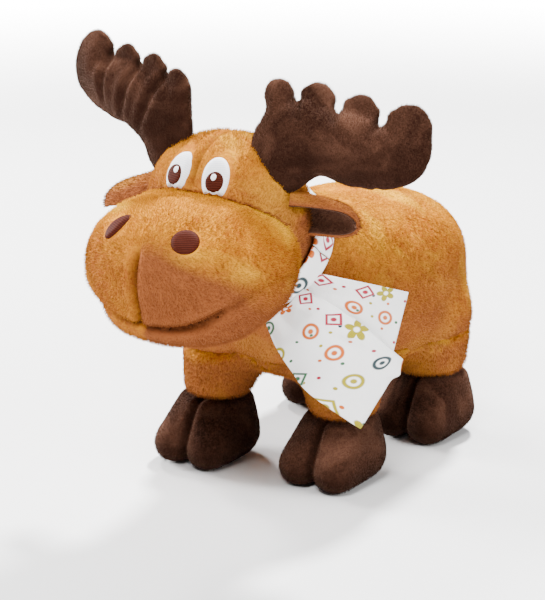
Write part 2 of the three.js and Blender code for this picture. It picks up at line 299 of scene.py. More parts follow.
# The seam colours are the seams' dark thread and painted shade in their creases
golden_plush = pile_material(
    "golden_plush", golden, bump=0.0012, sheen_colour=golden_sheen, sheen=0.02, nap_colour=golden_shade,
    seam_colour=colour(62, 32, 17))
brown_velour = pile_material(
    "brown_velour", brown, bump=0.0005, sheen_colour=brown_sheen, sheen=0.30, nap_colour=brown_shade,
    seam_colour=colour(24, 14, 10))
print("fabrics:", golden_plush.name, brown_velour.name)


# %% Hair material
own_normal_share = 0.35
root_tone = 0.55
tip_tone = 1.12
dark_root_end = 0.9


def vector_node(tree, operation, *values):
    return node(tree, "ShaderNodeVectorMath", values, operation=operation).outputs[0]


def scaled_vector(tree, vector, scale):
    inputs = {"Vector": vector, "Scale": scale}
    return node(tree, "ShaderNodeVectorMath", inputs, operation="SCALE").outputs[0]


def hair_material(name, group, sheen_colour, sheen, nap_colour):
    """A hair is dark at its root, and is lit mostly as the skin under it would be"""
    material, tree, shader = new_material(name, roughness=0.75)
    set_sheen(tree, shader, sheen, roughness=0.4, tint=sheen_colour, specular=0.0)
    pile = node(tree, "ShaderNodeGroup", node_tree=group)
    depth = spread(tree, stored(tree, "along"), 0.0, dark_root_end, root_tone, tip_tone)
    strength = math_node(tree, "MULTIPLY", depth, stored(tree, "shade"))
    # Painted shade: the hair takes the darker colour where the skin under it faces down
    shaded_hair = mixed(tree, stored(tree, "nap"), pile.outputs["Colour"], nap_colour)
    ground = node(tree, "ShaderNodeAttribute", attribute_name="skin_normal").outputs["Vector"]
    facing = node(
        tree, "ShaderNodeVectorTransform", {"Vector": ground},
        vector_type="NORMAL", convert_from="OBJECT", convert_to="WORLD").outputs["Vector"]
    own = node(tree, "ShaderNodeNewGeometry").outputs["Normal"]
    inputs = {"Factor": own_normal_share, "A": facing, "B": own}
    normal = node(tree, "ShaderNodeMix", inputs, data_type="VECTOR").outputs["Result"]
    feed(tree, shader, {
        "Base Color": scaled_vector(tree, shaded_hair, strength),
        "Normal": vector_node(tree, "NORMALIZE", normal),
    })
    return material


golden_hair = hair_material("golden_hair", golden, golden_sheen, sheen=0.02, nap_colour=golden_shade)
velour_hair = hair_material("velour_hair", brown, brown_sheen, sheen=0.2, nap_colour=brown_shade)
print("hairs:", golden_hair.name, velour_hair.name)


# %% [markdown]
# ## Skins
# The frame's solids have the right size and place, but their facets are not fabric. Each skin starts as a
# merged copy of its solid. Subdivision would keep the facets' long edges, so a voxel remesh gives it even,
# small faces, and smoothing takes the facets out. A solid's outside is the tips of its pile, so the fabric
# lies a little inside it, but where two skins are sewn together they meet.

# %% Helpers for skins
def modify(piece, kind, **settings):
    modifier = piece.modifiers.new(kind.lower(), kind)
    for name, setting in settings.items():
        setattr(modifier, name, setting)


def finished(piece):
    """Applies the piece's modifiers and returns it"""
    graph = bpy.context.evaluated_depsgraph_get()
    mesh = bpy.data.meshes.new_from_object(piece.evaluated_get(graph))
    mesh.name = piece.name
    piece.modifiers.clear()
    piece.data = mesh
    return piece


def shade_smooth(mesh):
    mesh.polygons.foreach_set("use_smooth", [True] * len(mesh.polygons))


def even_skin(piece, voxel, rounds):
    """Gives a piece even faces of one voxel's size and smooths it by some rounds"""
    modify(piece, "REMESH", mode="VOXEL", voxel_size=voxel)
    modify(piece, "SMOOTH", iterations=rounds)
    finished(piece)
    shade_smooth(piece.data)
    return piece


def over_skin(piece):
    """A search tree over the faces of a piece"""
    build = bmesh.new()
    build.from_mesh(piece.data)
    tree = BVHTree.FromBMesh(build)
    build.free()
    return tree


def points_of(piece):
    places = np.empty(len(piece.data.vertices) * 3, np.float32)
    piece.data.vertices.foreach_get("co", places)
    return places.reshape(-1, 3)


def move_points(piece, places):
    piece.data.vertices.foreach_set("co", places.astype(np.float32).ravel())
    piece.data.update()


def normals_of(piece):
    directions = np.empty(len(piece.data.vertices) * 3, np.float32)
    piece.data.vertices.foreach_get("normal", directions)
    return directions.reshape(-1, 3)


# %% Skin from solids
pile_depth = 0.0009
overlap = 0.0005
touching = 0.001
parting = 0.003


def skin(name, *solids, voxel, rounds, beside=None, plugs=()):
    """Fuses solids into one skin that meets the solid beside it. Each plug is a ball that closes a socket."""
    build = bmesh.new()
    for solid in solids:
        build.from_mesh(nodes[solid].data)
    bmesh.ops.remove_doubles(build, verts=build.verts, dist=1e-6)
    for middle, radius in plugs:
        place = Matrix.Translation(middle)
        bmesh.ops.create_icosphere(build, subdivisions=3, radius=radius, matrix=place)
    piece = even_skin(new_piece(name, build), voxel, rounds)
    depth = np.full(len(piece.data.vertices), pile_depth)
    if beside:
        neighbour = over_skin(nodes[beside])
        gap = np.array([neighbour.find_nearest(point.co)[3] for point in piece.data.vertices])
        free = np.clip((gap - touching) / parting, 0, 1)
        depth = pile_depth * free - overlap * (1 - free)
    move_points(piece, points_of(piece) - normals_of(piece) * depth[:, None])
    return piece


# %% [markdown]
# ## Hairs
# Particle hair would not leave this file as a mesh, so geometry nodes scatter small closed spikes over the
# skin. Each spike leans along the skin's own comb direction, and noise turns that direction a little, which
# makes the soft swirls of brushed plush. Where the skin faces down, painted shade darkens its colour.

# %% One hair
hair_sides = 3
bake_corners = ((0.05, 0.05), (0.45, 0.05), (0.25, 0.45))


def store(piece, name, values, kind="FLOAT"):
    """Stores a value for each point, which materials and node groups read"""
    attribute = piece.data.attributes.get(name) or piece.data.attributes.new(name, kind, "POINT")
    field_name = "vector" if kind == "FLOAT_VECTOR" else "value"
    attribute.data.foreach_set(field_name, np.asarray(values, np.float32).ravel())


def one_hair(length, width):
    """A closed spike. Each of its faces has its own quarter of a flat square."""
    build = bmesh.new()
    bmesh.ops.create_cone(
        build, cap_ends=True, segments=hair_sides, radius1=width / 2, radius2=0, depth=length)
    bmesh.ops.translate(build, verts=build.verts, vec=(0, 0, length / 2))
    own_cell = build.loops.layers.uv.new("OFBake")
    for index, face in enumerate(build.faces):
        for loop, corner in zip(face.loops, bake_corners):
            loop[own_cell].uv = (corner[0] + index % 2 / 2, corner[1] + index // 2 / 2)
    hair = new_piece("one_hair", build)
    store(hair, "along", [point.co.z / length for point in hair.data.vertices])
    return hair


# %% Plant the hairs
swirl_size = 0.016
stray = 0.3
height_range = (0.65, 1.25)
shade_range = (0.82, 1.18)


def named(tree, name, kind):
    """Reads a value that was stored on the skin"""
    return node(tree, "GeometryNodeInputNamedAttribute", {"Name": name}, data_type=kind).outputs["Attribute"]


def keep_named(tree, geometry, name, value, kind, domain):
    inputs = {"Geometry": geometry, "Name": name, "Value": value}
    kept = node(tree, "GeometryNodeStoreNamedAttribute", inputs, data_type=kind, domain=domain)
    return kept.outputs["Geometry"]


def chance(tree, low, high, seed, kind="FLOAT"):
    """A random value for each hair"""
    inputs = {"Min": low, "Max": high, "Seed": seed}
    return node(tree, "FunctionNodeRandomValue", inputs, data_type=kind).outputs["Value"]


def hair_direction(tree, lean, swirl, seed):
    """The comb's direction, turned by soft noise and a little at random, and lifted off the skin"""
    place = node(tree, "GeometryNodeInputPosition").outputs["Position"]
    wander = node(tree, "ShaderNodeTexNoise", {"Vector": place, "Scale": 1 / swirl_size, "Detail": 2})
    centred = vector_node(tree, "SUBTRACT", wander.outputs["Color"], (0.5, 0.5, 0.5))
    loose = chance(tree, (-stray,) * 3, (stray,) * 3, seed, "FLOAT_VECTOR")
    flow = vector_node(tree, "ADD", named(tree, "comb", "FLOAT_VECTOR"), scaled_vector(tree, centred, swirl))
    flow = vector_node(tree, "ADD", flow, loose)
    lifted = scaled_vector(tree, named(tree, "skin_normal", "FLOAT_VECTOR"), 1 / lean)
    inputs = {"Vector": vector_node(tree, "ADD", flow, lifted)}
    return node(tree, "FunctionNodeAlignRotationToVector", inputs, axis="Z").outputs["Rotation"]


def hair_scatter(name, hair, density, lean, swirl, seed):
    """A node group that plants hairs on a skin, fewer where it is bare"""
    tree = bpy.data.node_groups.new(name, "GeometryNodeTree")
    tree.interface.new_socket("Skin", in_out="INPUT", socket_type="NodeSocketGeometry")
    tree.interface.new_socket("Pile", in_out="OUTPUT", socket_type="NodeSocketGeometry")
    source = node(tree, "NodeGroupInput").outputs["Skin"]
    cover = math_node(tree, "MULTIPLY_ADD", named(tree, "bare", "FLOAT"), -density, density)
    inputs = {"Mesh": source, "Density": cover, "Seed": seed}
    roots = node(tree, "GeometryNodeDistributePointsOnFaces", inputs, distribute_method="RANDOM").outputs
    model = node(tree, "GeometryNodeObjectInfo", {"Object": hair}).outputs["Geometry"]
    height = math_node(tree, "MULTIPLY", chance(tree, *height_range, seed + 2), named(tree, "tall", "FLOAT"))
    planted = node(tree, "GeometryNodeInstanceOnPoints", {
        "Points": keep_named(tree, roots["Points"], "skin_normal", roots["Normal"], "FLOAT_VECTOR", "POINT"),
        "Instance": model,
        "Rotation": hair_direction(tree, lean, swirl, seed + 1),
        "Scale": height,
    })
    shade = chance(tree, *shade_range, seed + 3)
    toned = keep_named(tree, planted.outputs["Instances"], "shade", shade, "FLOAT", "INSTANCE")
    real = node(tree, "GeometryNodeRealizeInstances", {"Geometry": toned})
    node(tree, "NodeGroupOutput", {"Pile": real.outputs["Geometry"]})
    return tree


# %% Grow the pile
def spread_cells(pile, corners_per_hair):
    """Gives every hair its own square of the flat map that colours are baked on"""
    layer = pile.data.uv_layers["OFBake"]
    flat = np.empty(len(layer.uv) * 2, np.float32)
    layer.uv.foreach_get("vector", flat)
    flat = flat.reshape(-1, 2)
    hair = np.arange(len(flat)) // corners_per_hair
    across = math.ceil(math.sqrt(hair[-1] + 1))
    cell = np.stack([hair % across, hair // across], 1)
    layer.uv.foreach_set("vector", ((flat + cell) / across).astype(np.float32).ravel())


steep_enough = 0.75
steepness = 0.9


def grow_hairs(piece, kind, body, comb, seed, bare=None, tall=None, part="", darkening=0.0, underside_shade=0.85):
    """comb, bare and tall give the hairs' direction, gaps and height at each place of the skin. The colour is
    darkened by an amount given for the piece or each point, which on the muzzle is painted shade, and by
    painted shade where the skin faces down
    """
    places = points_of(piece)
    store(piece, "comb", comb(places), "FLOAT_VECTOR")
    store(piece, "bare", bare(places) if bare else np.zeros(len(places)))
    store(piece, "tall", tall(places) if tall else np.ones(len(places)))
    # Painted shade: the colour is darkened where the skin faces down
    facing_down = np.clip((steep_enough - normals_of(piece)[:, 2]) / steepness, 0, 1)
    store(piece, "nap", np.clip(darkening + underside_shade * facing_down, 0, 1))
    hair = one_hair(kind["length"], kind["width"])
    pile = link(piece.name.replace("_skin", "_pile") + part, piece.data.copy())
    group = hair_scatter(pile.name, hair, kind["density"], kind["lean"], kind["swirl"], seed)
    modify(pile, "NODES", node_group=group)
    finished(pile)
    spread_cells(pile, len(hair.data.loops))
    bpy.data.objects.remove(hair)
    pile.data.materials.clear()
    pile.data.materials.append(kind["material"])
    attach(pile, body)
    print(pile.name, len(pile.data.polygons), "faces")
    return pile


golden_pile = {
    "length": 0.0021, "width": 0.00034, "density": 1.25e6, "lean": 1.7, "swirl": 1.9,
    "material": golden_hair, "slot": "plush",
}


# %% [markdown]
# ## Filling and seams
# A sewn toy is flat fabric until the fibre goes in. A cloth simulation with pressure does the same for the
# antlers, which are cut flat: the skin swells until the cloth holds it back. Gravity is off, because the
# filling carries the fabric, and a cap keeps the skin inside its solid's space. The other solids already
# have their filled form. A seam could be a groove in the material alone, but its shadow would be missing, so
# it is pressed into the skin, with a low shoulder on each side where the filling pushes back.

# %% Fill a skin with fibre
def fill(piece, pressure, frames, cap):
    start = points_of(piece)
    cloth = piece.modifiers.new("filling", "CLOTH")
    cloth.settings.use_pressure = True
    cloth.settings.uniform_pressure_force = pressure
    cloth.settings.effector_weights.gravity = 0
    cloth.settings.bending_stiffness = 0.1
    cloth.point_cache.frame_end = frames
    for moment in range(1, frames + 1):
        bpy.context.scene.frame_set(moment)
    finished(piece)
    bpy.context.scene.frame_set(1)
    move = points_of(piece) - start
    reach = np.linalg.norm(move, axis=1, keepdims=True)
    move *= np.minimum(1, cap / np.maximum(reach, 1e-9))
    move_points(piece, start + move)
    print(piece.name, "swelled up to", round(float(reach.max()) / MM, 1), "mm")


# %% Press a seam into a skin
shoulder_height = 0.3
shoulder_out = 2.4
shoulder_width = 1.3


def below(values, edge, softness):
    """1 where values are below an edge and 0 above it, with a soft step between"""
    return 1 / (1 + np.exp((values - edge) / softness))


def above(values, edge, softness):
    return 1 / (1 + np.exp(-(values - edge) / softness))


def near_line(distance, width):
    """1 on a line, fading to 0 at a few widths from it"""
    return np.exp(-((distance / width) ** 2))


def press(piece, distance, depth, width, where):
    """distance holds how far each point is from the seam's line, and where is 0 off the seam's ends"""
    valley = near_line(distance, width)
    shoulder = shoulder_height * near_line(np.abs(distance) - shoulder_out * width, shoulder_width * width)
    push = (valley - shoulder) * depth * where
    move_points(piece, points_of(piece) - normals_of(piece) * push[:, None])
    return valley * where


# %% Dress a piece
def dress(piece, material, slot, body, *solids):
    piece.data.materials.clear()
    piece.data.materials.append(material)
    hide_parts(*solids)
    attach(piece, body)
    return piece


def steady(direction):
    return lambda places: np.tile(np.asarray(direction, np.float32), (len(places), 1))


# %% Cut one skin into sewn parts
def part_of(whole, name, belongs):
    """Copies the faces of a skin that belong to one sewn part, and closes the cut"""
    build = bmesh.new()
    build.from_mesh(whole.data)
    centres = np.array([face.calc_center_median() for face in build.faces])
    keep = belongs(centres)
    gone = [face for face, kept in zip(build.faces, keep) if not kept]
    bmesh.ops.delete(build, geom=gone, context="FACES")
    rims = [edge for edge in build.edges if edge.is_boundary]
    bmesh.ops.holes_fill(build, edges=rims, sides=0)
    piece = new_piece(name, build)
    shade_smooth(piece.data)
    return piece


# %% [markdown]
# ## Body and legs
# The body is one barrel of pile fabric, and each leg is a sleeve sewn to it. Five separate skins would show
# hard joins, but on the real toy the fabric runs on from body to thigh with only a soft dip. So the five
# solids are fused into one skin, creased, and then cut apart again where the legs are sewn on. The torso's
# pile is grown in three lengths, so that no mesh gets too heavy.

# %% Body with legs
leg_names = ["front_left", "front_right", "rear_left", "rear_right"]
body_whole = skin("body_whole", "torso", *["leg_" + name for name in leg_names], voxel=0.004, rounds=14)
leg_middles = {}
for name in leg_names:
    low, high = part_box("hoof_" + name)
    leg_middles[name] = (low + high) / 2
print("body skin has", len(body_whole.data.vertices), "points")


# %% Creases where the legs join
leg_top = {name: 0.072 if "front" in name else 0.066 for name in leg_names}
leg_reach = 0.043
leg_set_back = 0.008
crease_slope = 0.15
crease_end = 0.012


def from_leg(places, name):
    """How far points are from a leg's upright middle line, which is behind its hoof's middle"""
    middle = leg_middles[name]
    return np.hypot(places[:, 0] - middle.x, places[:, 1] - middle.y - leg_set_back)


for name in leg_names:
    places = points_of(body_whole)
    behind = places[:, 1] - leg_middles[name].y
    near_leg = below(from_leg(places, name), leg_reach, softness=0.002)
    level = places[:, 2] - leg_top[name] - crease_slope * behind
    in_front = below(behind, crease_end, softness=0.004)
    press(body_whole, level, depth=0.0022, width=0.0026, where=near_leg * in_front)
print("creases pressed at", len(leg_names), "legs")


# %% Torso and legs as sewn parts
def in_leg(name):
    return lambda places: (places[:, 2] < leg_top[name]) & (from_leg(places, name) < leg_reach)


def in_torso(places):
    return ~np.any([in_leg(name)(places) for name in leg_names], axis=0)


def outside(start, end):
    """Bare everywhere but between two places along the body"""
    return lambda places: ((places[:, 1] <= start) | (places[:, 1] > end)).astype(float)


torso = dress(part_of(body_whole, "torso_skin", in_torso), golden_plush, "plush", "torso", "torso")
backward = steady((0, 0.9, -0.5))
pile_limits = [-1, 0.012, 0.072, 1]
for index, part in enumerate(("_front", "_middle", "_rear")):
    elsewhere = outside(*pile_limits[index:index + 2])
    grow_hairs(torso, golden_pile, "torso", backward, seed=10 + index, bare=elsewhere, part=part)
for index, name in enumerate(leg_names):
    leg = dress(
        part_of(body_whole, f"leg_{name}_skin", in_leg(name)), golden_plush, "plush", "torso", "leg_" + name)
    grow_hairs(leg, golden_pile, "torso", steady((0, 0.1, -1)), seed=20 + index)
bpy.data.objects.remove(body_whole)


# %% [markdown]
# ## Muzzle and lower lip
# The muzzle is the toy's biggest feature: two cheeks that meet in a seam below the nose, and a lower lip
# sewn on along the mouth. Modelled apart, the two would never fit closely. So lip and muzzle are fused, the
# mouth and the seam are pressed in, and the skin is then cut in two along the mouth. The lip runs on a
# little way under the muzzle, as a real seam allowance does, so that no gap shows.

# %% Muzzle forms
seam_x = -0.0035
mouth_low = 0.1230
mouth_curve = 10.5
mouth_half = 0.047
lowest_aside = 0.010
seam_end = 0.164
face_depth = -0.105
line_front = -0.09
seam_depth = 0.0045


def mouth_height(places):
    """The mouth rises in a curve on each side of the middle seam"""
    aside = np.abs(places[:, 0] - seam_x)
    return mouth_low + mouth_curve * (aside - lowest_aside) ** 2


muzzle_whole = skin(
    "muzzle_whole", "muzzle", "lower_lip", voxel=0.0016, rounds=24, beside="head_crown")
places = points_of(muzzle_whole)
front = below(places[:, 1], face_depth, softness=0.006)
in_mouth = below(np.abs(places[:, 0] - seam_x), mouth_half, softness=0.002)
level = places[:, 2] - mouth_height(places)
mouth = press(muzzle_whole, level, seam_depth, width=0.0024, where=front * in_mouth)
in_seam = above(level, 0, softness=0.001) * below(places[:, 2], seam_end, softness=0.002)
seam = press(muzzle_whole, places[:, 0] - seam_x, seam_depth, width=0.0020, where=front * in_seam)
# The mouth and middle seam are darkened: their dark thread, with painted shade in the crease
store(muzzle_whole, "sewn", np.maximum(mouth, seam))
print("muzzle skin has", len(places), "points")


# %% Muzzle and lip as sewn parts
nose_top = (seam_x, -0.150, 0.165)
nostril_spots = {
    "left": Vector((0.0213, -0.1394, 0.1718)),
    "right": Vector((-0.0250, -0.1385, 0.1730)),
}
bare_nostril = 0.0086
muzzle_trim = 0.55


def from_nose(places):
    """The pile is combed away from the top of the nose"""
    away = places - np.array(nose_top)
    return away / np.linalg.norm(away, axis=1, keepdims=True)


def muzzle_lines(places, width):
    """How near each point is to the mouth or the middle seam, from 0 to 1"""
    aside = np.abs(places[:, 0] - seam_x)
    level = places[:, 2] - mouth_height(places)
    on_front = places[:, 1] < line_front
    mouth = near_line(level, width) * on_front * (aside < mouth_half)
    middle = near_line(aside, width) * on_front * (places[:, 2] < seam_end) * (level > 0)
    return np.maximum(mouth, middle)


def bare_muzzle(places):
    bare = muzzle_lines(places, width=0.0016)
    for spot in nostril_spots.values():
        bare = np.maximum(bare, np.linalg.norm(places - np.array(spot), axis=1) < bare_nostril)
    return bare


# Where painted shade darkens the lower front of the muzzle
cheek_shade_top = 0.169
cheek_shade_slope = 0.42
cheek_shade_level = 0.012
cheek_shade_reach = 0.056
cheek_shade_front = -0.08
cheek_step = 0.002
other_cheek = 0.25


def painted_cheek_shade(places):
    """Painted shade on the cheek under the left nostril, and a little on the other cheek, from 0 to 1"""
    aside = places[:, 0] - seam_x
    edge = cheek_shade_top - cheek_shade_slope * np.maximum(aside - cheek_shade_level, 0)
    this_cheek = np.clip(aside / cheek_step, other_cheek, 1)
    reach = below(aside, cheek_shade_reach, softness=0.004)
    return below(places[:, 2], edge, softness=0.003) * this_cheek * reach * (places[:, 1] < cheek_shade_front)


def tall_muzzle(places):
    return 1 - muzzle_trim * muzzle_lines(places, width=0.004)


lip_under = 0.0030
lip_tuck = 0.0006
muzzle = part_of(
    muzzle_whole, "muzzle_skin", lambda centres: centres[:, 2] > mouth_height(centres))
dress(muzzle, golden_plush, "plush", "head", "muzzle")
lip = part_of(
    muzzle_whole, "lower_lip_skin", lambda centres: centres[:, 2] <= mouth_height(centres) + lip_under)
dress(lip, golden_plush, "plush", "head", "lower_lip")
tucked = np.clip((points_of(lip)[:, 2] - mouth_height(points_of(lip))) / lip_under, 0, 1)
move_points(lip, points_of(lip) - normals_of(lip) * (tucked * lip_tuck)[:, None])
# The muzzle gets painted shade under the left nostril, and less painted shade where it faces down than other
# pieces
for index, piece in enumerate((muzzle, lip)):
    grow_hairs(
        piece, golden_pile, "head", from_nose, seed=40 + index, bare=bare_muzzle, tall=tall_muzzle,
        darkening=painted_cheek_shade(points_of(piece)), underside_shade=0.3)
bpy.data.objects.remove(muzzle_whole)


# %% [markdown]
# ## Crown of the head
# Two panels meet in a seam that runs from between the eyes over the top of the head to the neck. The solid
# has sockets in which the ears and antlers turn, but the real crown is whole under their roots. A ball in
# each socket, fused by the same remesh, closes it without a patch that would show. The pile stays away from
# the eyes, which are stitched onto the bare ground.

# %% Where the crown's hairs grow
eye_spots = {
    "left": Vector((0.0107, -0.0980, 0.1951)),
    "right": Vector((-0.0142, -0.0977, 0.1952)),
}
bare_eye = (0.0090, 0.03, 0.0138)
crown_seam_start = 0.185
crown_trim = 0.4


def near_crown_seam(places, width):
    return near_line(places[:, 0] - seam_x, width) * (places[:, 2] > crown_seam_start)


def bare_crown(places):
    bare = near_crown_seam(places, width=0.0013)
    for spot in eye_spots.values():
        away = (places - np.array(spot)) / np.array(bare_eye)
        bare = np.maximum(bare, np.linalg.norm(away, axis=1) < 1)
    return bare


def tall_crown(places):
    return 1 - crown_trim * near_crown_seam(places, width=0.004)


# %% Crown
seam_tone = 0.7
seam_lead = 0.005
crown_middle = Vector((-0.0013, -0.0692, 0.168))
joints = {joint["name"]: joint for joint in frame["joints"]}
sockets = (("ear", "flap", 0.0085, 0.0055), ("antler", "fold", 0.0115, 0.007))
root_plugs = []
for side in ("left", "right"):
    for part, motion, radius, deeper in sockets:
        root = Vector(joints[f"{part}_{side}_{motion}"]["pos_m"])
        inward = (crown_middle - root).normalized()
        root_plugs.append((root + inward * deeper, radius))
crown = skin("crown_skin", "head_crown", voxel=0.002, rounds=22, beside="muzzle", plugs=root_plugs)
places = points_of(crown)
on_top = above(places[:, 2], crown_seam_start + seam_lead, softness=0.003)
seam = press(crown, places[:, 0] - seam_x, depth=0.0020, width=0.0016, where=on_top)
# The crown's seam is darkened: its thread, with painted shade in the crease
store(crown, "sewn", seam_tone * seam)
dress(crown, golden_plush, "plush", "head", "head_crown")
# The crown's pile is a little darker all over
grow_hairs(
    crown, golden_pile, "head", steady((0, 0.7, 0.5)), seed=50, bare=bare_crown, tall=tall_crown,
    darkening=0.2)


# %% [markdown]
# ## Antlers
# Each antler is cut from two flat pieces of short velour in the outline of a hand with four fingers, sewn at
# the edge, and filled. It could be sculpted full, but then its edge would be too even. So the lesson does as
# the maker does: a flat outline is given a little thickness, and pressure fills it. The outline draws in as
# the antler swells, which makes the true puckers between the fingers.

# %% Antler pattern
# Its numbers are millimetres from the root, first out along the antler and then toward its fingers.
antler_pattern = [
    (-11.5, 13), (-9.5, 30), (-11.5, 40.5), (-6, 46.5), (0.5, 46), (6, 41), (9.5, 47), (16.5, 51), (24, 47.5),
    (28.5, 41), (33, 46), (40, 50), (47.5, 46), (53, 38.5), (58, 44), (67, 47.5), (76, 42), (79.5, 30),
    (77, 13), (66, 4), (53, 0), (40, -1), (27, -2), (17, -8), (7, -11), (-4, -6),
]
pattern_middle = (35, 20)
drawing_in = 1.10  # how much larger the flat pattern is than the filled antler
flat_thickness = 0.003
antler_voxel = 0.0014
root_stretch = {"left": 1.0, "right": 1.6}
palm_top = 25
finger_curl = {"left": 0.0, "right": 0.0065}
finger_length = {"left": 1.0, "right": 0.97}


def hand_cut(side, u, v):
    """The right antler has a longer root and shorter fingers that close, as no two are quite alike"""
    if v < 0:
        return u, v * root_stretch[side]
    closed = finger_curl[side] * (pattern_middle[0] - u) * max(v - palm_top, 0)
    return u + closed, v * finger_length[side]


def flat_antler(name, side):
    """Draws the pattern as a closed smooth curve, fills it and turns it into even faces"""
    pattern = bpy.data.curves.new(name, "CURVE")
    pattern.dimensions = "2D"
    pattern.fill_mode = "BOTH"
    pattern.extrude = flat_thickness / 2
    outline = pattern.splines.new("BEZIER")
    outline.use_cyclic_u = True
    outline.bezier_points.add(len(antler_pattern) - 1)
    for corner, place in zip(outline.bezier_points, antler_pattern):
        cut = hand_cut(side, *place)
        u, v = (middle + (value - middle) * drawing_in for value, middle in zip(cut, pattern_middle))
        corner.co = (u * MM, v * MM, 0)
        corner.handle_left_type = "AUTO"
        corner.handle_right_type = "AUTO"
    drawn = link(name + "_pattern", pattern)
    bpy.context.view_layer.update()
    mesh = bpy.data.meshes.new_from_object(drawn.evaluated_get(bpy.context.evaluated_depsgraph_get()))
    bpy.data.objects.remove(drawn)
    build = bmesh.new()
    build.from_mesh(mesh)
    bmesh.ops.remove_doubles(build, verts=build.verts, dist=1e-5)
    piece = new_piece(name, build)
    modify(piece, "REMESH", mode="VOXEL", voxel_size=antler_voxel)
    return finished(piece)


# %% Antlers in place
antler_out = {"left": Vector((0.95, 0.25, -0.12)), "right": Vector((-0.97, 0.175, 0.2))}
antler_creases = [((6, 40), (18, 4)), ((28.5, 40), (32, 8)), ((53, 37.5), (48, 10))]
crease_reach = {"left": 0.35, "right": 1.0}


def along_crease(places, notch, palm):
    """How far points are from a crease between two spots of the pattern, and how far along it"""
    start, end = np.array(notch) * MM, np.array(palm) * MM
    line = end - start
    flat = places[:, :2] - start
    share = np.clip(flat @ line / (line @ line), 0, 1)
    return np.linalg.norm(flat - share[:, None] * line, axis=1), share


short_velour = {
    "length": 0.0012, "width": 0.00026, "density": 2.2e6, "lean": 1.3, "swirl": 2.2,
    "material": velour_hair, "slot": "velour",
}


def antler_place(side):
    """The antler's own three directions and its root, from the joint that it folds about"""
    joint = joints[f"antler_{side}_fold"]
    out = antler_out[side].normalized()
    fingers = Vector(joint["axis"]).normalized()
    flat = out.cross(fingers)
    return np.array([out, fingers, flat]), np.array(joint["pos_m"])


for index, side in enumerate(("left", "right")):
    antler = flat_antler(f"antler_{side}_skin", side)
    fill(antler, pressure=6, frames=30, cap=0.014)
    modify(antler, "SMOOTH", iterations=12)
    finished(antler)
    for notch, palm in antler_creases:
        notch, palm = hand_cut(side, *notch), hand_cut(side, *palm)
        away, share = along_crease(points_of(antler), notch, palm)
        fading = np.clip(1 - share / crease_reach[side], 0, 1) ** 0.5
        press(antler, away, depth=0.0030, width=0.0020, where=fading)
    turn, root = antler_place(side)
    move_points(antler, points_of(antler) @ turn + root)
    shade_smooth(antler.data)
    dress(antler, brown_velour, "velour", f"antler_{side}", f"antler_{side}")
    grow_hairs(antler, short_velour, f"antler_{side}", steady(turn[1]), seed=80 + index)


# %% [markdown]
# ## Hooves
# A hoof is a velour shoe with two toes. The cleft between them is a seam that runs down the front. Each toe
# is the hull of one half of the solid, because tight fabric bridges every hollow as a hull does. The remesh
# fuses the two toes, and the cleft is pressed in last. The sole has no hairs, which the toy's weight would
# have flattened.

# %% Two toes of fabric over each hoof's solid
toe_overlap = 0.0015


def two_toes(name, solid, middle):
    """Each toe is pulled tight like a sock, from the ankle to the toe's front"""
    both = bmesh.new()
    for side in (-1, 1):
        toe = bmesh.new()
        toe.from_mesh(nodes[solid].data)
        other = [point for point in toe.verts if side * (point.co.x - middle.x) < -toe_overlap]
        bmesh.ops.delete(toe, geom=other, context="VERTS")
        bmesh.ops.delete(toe, geom=toe.edges[:] + toe.faces[:], context="EDGES_FACES")
        bmesh.ops.convex_hull(toe, input=toe.verts)
        loose = [point for point in toe.verts if not point.link_faces]
        bmesh.ops.delete(toe, geom=loose, context="VERTS")
        one = bpy.data.meshes.new("toe")
        toe.to_mesh(one)
        toe.free()
        both.from_mesh(one)
        bpy.data.meshes.remove(one)
    return new_piece(name, both)


# %% Hooves
sole_height = 0.0024
cleft_start = 0.004


def sole(places):
    return (places[:, 2] < sole_height).astype(float)


for index, name in enumerate(leg_names):
    middle = leg_middles[name]
    toes = two_toes(f"hoof_{name}_skin", "hoof_" + name, middle)
    hoof = even_skin(toes, voxel=0.0018, rounds=10)
    places = points_of(hoof)
    forward = below(places[:, 1], middle.y, softness=0.004)
    in_cleft = forward * (places[:, 2] > cleft_start)
    cleft = press(hoof, places[:, 0] - middle.x, depth=0.0025, width=0.0018, where=in_cleft)
    # Painted shade: the bottom of the cleft is darkened, as a crease in shade
    store(hoof, "sewn", seam_tone * cleft ** 3)  # cubed, so only the cleft's bottom is dark
    dress(hoof, brown_velour, "velour", "torso", "hoof_" + name)
    grow_hairs(hoof, short_velour, "torso", steady((0, -0.6, -0.6)), seed=90 + index, bare=sole)


# %% [markdown]
# ## Embroidery
# Eyes and nostrils are satin stitch: a low dome of parallel threads. A disc is laid on the skin by casting a
# ray from each of its points, raised a little in the middle and given thickness. Real threads would need a
# hundred thin tubes or so for a relief of a tenth of a millimetre. So they are a fine wave across the disc
# instead, and the disc keeps its own flat coordinates as a UV map.

# %% Thread materials
thread_pitch = 0.0011843
thread_relief = 0.00009
thread_wear = 900
wave_repeats = 20 / (2 * math.pi)  # of Blender's wave texture in one unit, at a scale of 1


def yarns(tree, place, direction, pitch, distortion, detail_scale=1.0):
    """Parallel threads, as a wave across the flat map of a piece"""
    inputs = {
        "Vector": place, "Scale": 1 / pitch / wave_repeats, "Distortion": distortion,
        "Detail Scale": detail_scale,
    }
    return node(
        tree, "ShaderNodeTexWave", inputs,
        wave_type="BANDS", bands_direction=direction, wave_profile="SIN").outputs["Fac"]


